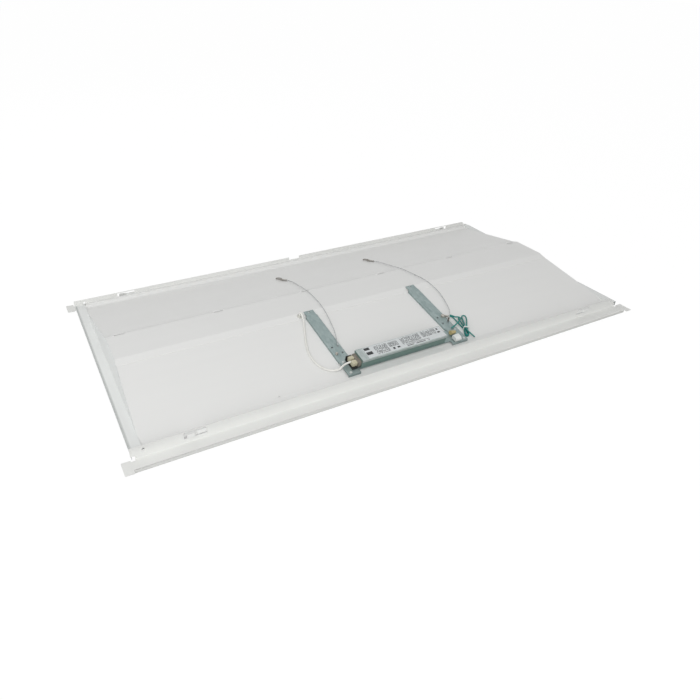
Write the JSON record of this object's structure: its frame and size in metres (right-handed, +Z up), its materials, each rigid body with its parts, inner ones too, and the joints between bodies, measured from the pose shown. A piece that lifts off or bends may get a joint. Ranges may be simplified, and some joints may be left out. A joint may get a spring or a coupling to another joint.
{
  "type": "troffer light",
  "caption": "Lay-in LED troffer door with sloped reflector wings, raised LED channel, frosted lens, rails with grid clips and a lift-off driver frame on tethers.",
  "frame": {"origin": "centre of the light in plan, at the lower edge of the rail lips", "axes": "+X along the length, +Y across to the far rail, +Z up into the ceiling void"},
  "size_m": [1.213, 0.603, 0.0677],
  "materials": {
    "white_paint": "satin white paint",
    "galvanised_steel": "dull galvanised",
    "driver_steel": "dull grey",
    "label": "matt white",
    "lens": "frosted",
    "board": "white solder mask",
    "tape": "matt grey",
    "leds": "phosphor yellow",
    "circuit": "green solder mask",
    "transformer": "taped winding",
    "capacitors": "sleeved",
    "terminal": "grey-brown",
    "plug": "cream",
    "shroud": "matt black",
    "connector": "natural white",
    "nut": "ribbed yellow",
    "lead": "cream jacket",
    "grommet": "matt black",
    "rivets": "plain",
    "screws": "zinc",
    "cable": "stranded steel",
    "hooks": "dark zinc",
    "ground_wire": "green jacket"
  },
  "bodies": {
    "luminaire": {"far_lens_rail": "white_paint", "far_rail": "white_paint", "far_wing": "white_paint", "lead_grommet": "grommet", "led_channel": "white_paint", "led_lead": "lead", "left_end_plate": "white_paint", "left_led_board": "board", "left_leds": "leds", "left_tether": "cable", "left_tether_ferrule": "rivets", "left_tether_hook": "hooks", "left_thermal_tape": "tape", "lens": "lens", "near_lens_rail": "white_paint", "near_rail": "white_paint", "near_wing": "white_paint", "right_end_plate": "white_paint", "right_led_board": "board", "right_leds": "leds", "right_tether": "cable", "right_tether_ferrule": "rivets", "right_tether_hook": "hooks", "right_thermal_tape": "tape"},
    "driver_frame": {"left_arm": "galvanised_steel", "right_arm": "galvanised_steel", "driver_base": "galvanised_steel", "frame_rivets": "rivets", "driver_case": "driver_steel", "driver_cover": "galvanised_steel", "driver_label": "label", "driver_circuit": "circuit", "driver_transformer": "transformer", "driver_capacitors": "capacitors", "output_terminal": "terminal", "input_terminal": "terminal", "driver_screws": "screws", "led_plug": "plug", "wire_connector": "connector", "wire_nut": "nut", "output_shroud": "shroud", "arm_screw": "screws", "tether_stops": "rivets", "ground_lug": "screws", "ground_screw": "screws", "ground_wire": "ground_wire", "ground_pigtail": "ground_wire", "wire_tie": "connector"},
    "near_left_clip_body": {"near_left_clip": "white_paint"},
    "near_right_clip_body": {"near_right_clip": "white_paint"},
    "far_left_clip_body": {"far_left_clip": "white_paint"},
    "far_right_clip_body": {"far_right_clip": "white_paint"}
  },
  "joints": [
    {"name": "tray_lift", "type": "slide", "parent": "luminaire", "child": "driver_frame", "axis": [0, 0, 1], "range_m": [0, 0.12], "deforming": ["led_lead", "left_tether", "right_tether"]},
    {"name": "near_left_clip_bend", "type": "hinge", "parent": "luminaire", "child": "near_left_clip_body", "pos_m": [-0.4573, -0.27, 0.02195], "axis": [0, 0, 1], "range_deg": [0, 80]},
    {"name": "near_right_clip_bend", "type": "hinge", "parent": "luminaire", "child": "near_right_clip_body", "pos_m": [0.4503, -0.27, 0.02195], "axis": [0, 0, -1], "range_deg": [0, 80]},
    {"name": "far_left_clip_bend", "type": "hinge", "parent": "luminaire", "child": "far_left_clip_body", "pos_m": [-0.4503, 0.27, 0.02195], "axis": [0, 0, -1], "range_deg": [0, 80]},
    {"name": "far_right_clip_bend", "type": "hinge", "parent": "luminaire", "child": "far_right_clip_body", "pos_m": [0.4573, 0.27, 0.02195], "axis": [0, 0, 1], "range_deg": [0, 80]}
  ]
}
